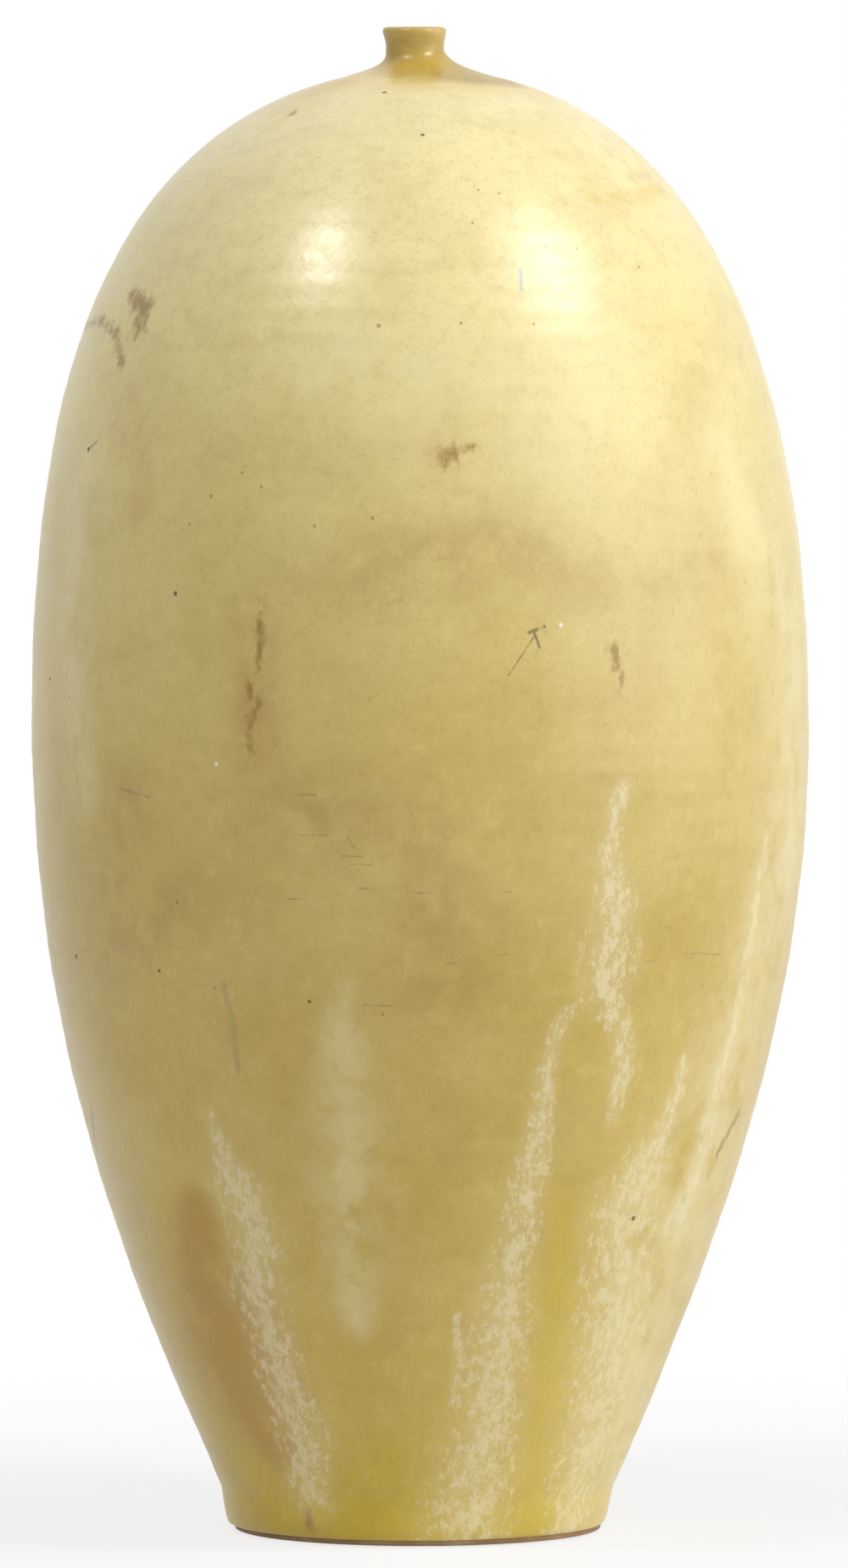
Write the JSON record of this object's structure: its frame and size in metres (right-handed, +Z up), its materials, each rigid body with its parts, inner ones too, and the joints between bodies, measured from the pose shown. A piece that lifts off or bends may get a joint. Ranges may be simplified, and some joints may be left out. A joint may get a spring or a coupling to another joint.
{
  "type": "pottery vase",
  "caption": "Tall rounded pottery bottle vase with a narrow neck, flared lip, glazed wall and bare clay foot ring.",
  "frame": {"origin": "middle of the foot ring's resting face", "axes": "+Z up along the vase's axis of revolution, pictured side towards -Y"},
  "size_m": [0.1446, 0.1446, 0.28],
  "materials": {
    "bare_clay": "dry fired stoneware, fine grain",
    "fired_slip": "dry fired slip",
    "outer_glaze": "satin straw-yellow ash glaze with pale crystalline streaks",
    "inner_glaze": "thin honey liner glaze"
  },
  "bodies": {
    "root": {"foot_ring": "bare_clay", "foot_slip_joint": "fired_slip", "lower_body": "bare_clay", "belly_slip_joint": "fired_slip", "upper_body": "bare_clay", "neck_slip_joint": "fired_slip", "neck": "bare_clay", "outer_glaze": "outer_glaze", "inner_glaze": "inner_glaze"}
  },
  "joints": []
}
